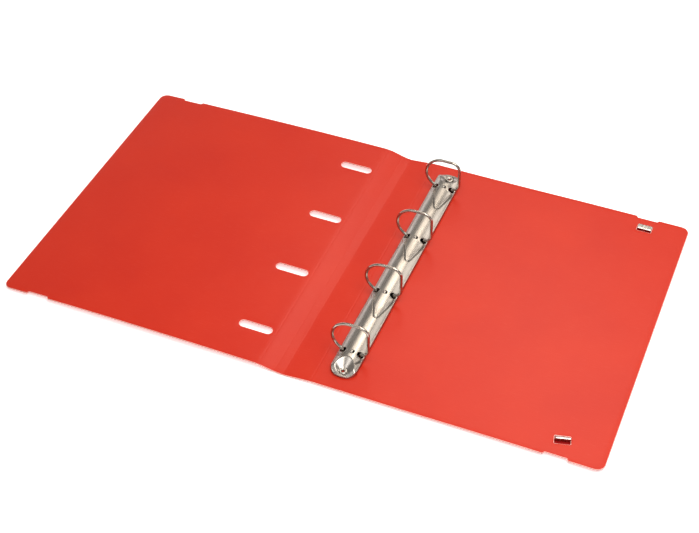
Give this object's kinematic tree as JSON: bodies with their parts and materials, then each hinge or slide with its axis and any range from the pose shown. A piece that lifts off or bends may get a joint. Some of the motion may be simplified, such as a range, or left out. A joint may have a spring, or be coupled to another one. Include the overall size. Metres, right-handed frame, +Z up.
{
  "type": "ring binder",
  "caption": "Creased plastic ring binder lying open, with asymmetric rings on a riveted arched housing, ring slots in the front cover and an elastic closing strap.",
  "frame": {"origin": "on the table under the middle of the opened binder (bottom centre of its bounding box)", "axes": "+X from the front cover to the back cover across the spine, +Y along the spine, +Z up"},
  "size_m": [0.575, 0.32, 0.0461],
  "materials": {
    "cover_sheet": "fine grained semi-matt",
    "plated_strip": "satin nickel plate",
    "ring_wire": "bright nickel plate",
    "rivet_metal": "nickel plated",
    "strap_elastic": "braided elastic",
    "bar_metal": "bright plated"
  },
  "bodies": {
    "back_cover": {"back_cover": "cover_sheet", "ring_housing": "plated_strip", "near_rivet": "rivet_metal", "far_rivet": "rivet_metal", "near_rivet_cap": "rivet_metal", "far_rivet_cap": "rivet_metal", "elastic_strap": "strap_elastic", "near_strap_bar": "bar_metal", "far_strap_bar": "bar_metal", "rear_crease_web": "cover_sheet"},
    "rear_spine_panel": {"rear_spine_panel": "cover_sheet", "rear_middle_crease_web": "cover_sheet"},
    "centre_spine_strip": {"centre_spine_strip": "cover_sheet", "front_middle_crease_web": "cover_sheet"},
    "front_spine_panel": {"front_spine_panel": "cover_sheet", "front_crease_web": "cover_sheet"},
    "front_cover": {"front_cover": "cover_sheet"},
    "left_ring_set": {"left_hinge_plate": "plated_strip", "left_half_ring_1": "ring_wire", "left_half_ring_2": "ring_wire", "left_half_ring_3": "ring_wire", "left_half_ring_4": "ring_wire"},
    "right_ring_set": {"right_hinge_plate": "plated_strip", "right_half_ring_1": "ring_wire", "right_half_ring_2": "ring_wire", "right_half_ring_3": "ring_wire", "right_half_ring_4": "ring_wire"}
  },
  "joints": [
    {"name": "rear_crease", "type": "hinge", "parent": "back_cover", "child": "rear_spine_panel", "pos_m": [0.02502, 0, 0.0037], "axis": [0, 1, 0], "range_deg": [0, 95.32], "deforming": ["rear_crease_web"]},
    {"name": "rear_middle_crease", "type": "hinge", "parent": "rear_spine_panel", "child": "centre_spine_strip", "pos_m": [-0.00127, 0, 0.00125], "axis": [0, 1, 0], "range_deg": [-14.36, 0], "deforming": ["rear_middle_crease_web"]},
    {"name": "front_middle_crease", "type": "hinge", "parent": "centre_spine_strip", "child": "front_spine_panel", "pos_m": [-0.00976, 0, 0.0026], "axis": [0, 1, 0], "range_deg": [-5.26, 0], "deforming": ["front_middle_crease_web"]},
    {"name": "front_crease", "type": "hinge", "parent": "front_spine_panel", "child": "front_cover", "pos_m": [-0.02507, 0, 0.0065], "axis": [0, 1, 0], "range_deg": [0, 105.45], "deforming": ["front_crease_web"]},
    {"name": "left_ring_opening", "type": "hinge", "parent": "back_cover", "child": "left_ring_set", "pos_m": [0.03682, 0, 0.0056], "axis": [0, -1, 0], "range_deg": [0, 6]},
    {"name": "right_ring_opening", "type": "hinge", "parent": "back_cover", "child": "right_ring_set", "pos_m": [0.05842, 0, 0.0056], "axis": [0, 1, 0], "range_deg": [0, 6]}
  ],
  "couplings": [
    {"joint": "rear_middle_crease", "follows": "rear_crease", "ratio": -0.1506},
    {"joint": "front_middle_crease", "follows": "front_crease", "ratio": -0.049871},
    {"joint": "right_ring_opening", "follows": "left_ring_opening", "ratio": 1}
  ]
}
